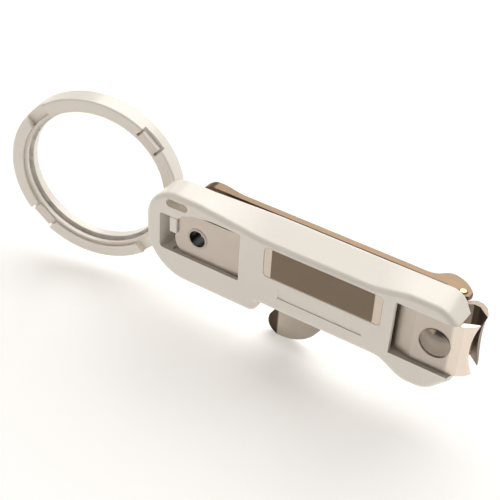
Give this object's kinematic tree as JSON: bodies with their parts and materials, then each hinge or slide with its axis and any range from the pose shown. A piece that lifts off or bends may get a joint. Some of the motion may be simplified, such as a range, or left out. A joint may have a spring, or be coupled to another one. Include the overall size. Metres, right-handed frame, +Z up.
{
  "type": "nail clipper with magnifier",
  "caption": "Lever nail clipper in a moulded plastic holder, with a folding round magnifier, a nail file and a swing-out blade.",
  "frame": {"origin": "centre of the eyelet that joins the two spring arms, in the plane of the lower arm's outer face", "axes": "+X along the clipper to its cutting edges, +Y from the holder's face to the lever, +Z up while the tool stands on its edge"},
  "size_m": [0.0992, 0.014, 0.0396],
  "materials": {
    "holder": "glossy white moulded plastic",
    "nail_file": "thin satin steel plate",
    "file_grit": "fine diamond-cut abrasive surface",
    "lower_arm": "satin nickel-plated spring steel",
    "upper_arm": "satin nickel-plated spring steel",
    "eyelet": "bright nickel-plated steel",
    "main_pin": "bright nickel-plated steel",
    "cross_pin": "bright nickel-plated steel",
    "lever": "polished plated steel",
    "cuticle_blade": "polished plated steel",
    "blade_rivet": "bright nickel-plated steel",
    "lens_frame": "glossy white moulded plastic",
    "lens_retainer": "glossy white moulded plastic",
    "magnifier_lens": "clear optical acrylic",
    "hinge_pin": "bright nickel-plated steel"
  },
  "bodies": {
    "holder": {"holder": "holder", "nail_file": "nail_file", "file_grit": "file_grit", "lower_arm": "lower_arm", "eyelet": "eyelet", "hinge_pin": "hinge_pin"},
    "jaw": {"upper_arm": "upper_arm"},
    "pin": {"main_pin": "main_pin", "cross_pin": "cross_pin"},
    "lever": {"lever": "lever", "blade_rivet": "blade_rivet"},
    "blade": {"cuticle_blade": "cuticle_blade"},
    "magnifier": {"lens_frame": "lens_frame", "lens_retainer": "lens_retainer", "magnifier_lens": "magnifier_lens"}
  },
  "joints": [
    {"name": "magnifier_hinge", "type": "hinge", "parent": "holder", "child": "magnifier", "pos_m": [-0.0086, 0.0095, 0], "axis": [0, 0, 1], "range_deg": [-90, 10]},
    {"name": "jaw_flex", "type": "hinge", "parent": "holder", "child": "jaw", "pos_m": [-0.0049, 0.00112, 0], "axis": [0, 0, -1], "range_deg": [0, 2.4], "stiffness_Nm_per_rad": 4},
    {"name": "pin_swivel", "type": "hinge", "parent": "holder", "child": "pin", "pos_m": [0.048, 0, 0], "axis": [0, 1, 0], "continuous": true},
    {"name": "lever_tilt", "type": "hinge", "parent": "pin", "child": "lever", "pos_m": [0.048, 0.0094, 0], "axis": [0, 0, -1], "range_deg": [0, 125]},
    {"name": "blade_swing", "type": "hinge", "parent": "lever", "child": "blade", "pos_m": [0.02815, 0.009, 0], "axis": [0, -1, 0], "range_deg": [-57, 63]}
  ]
}
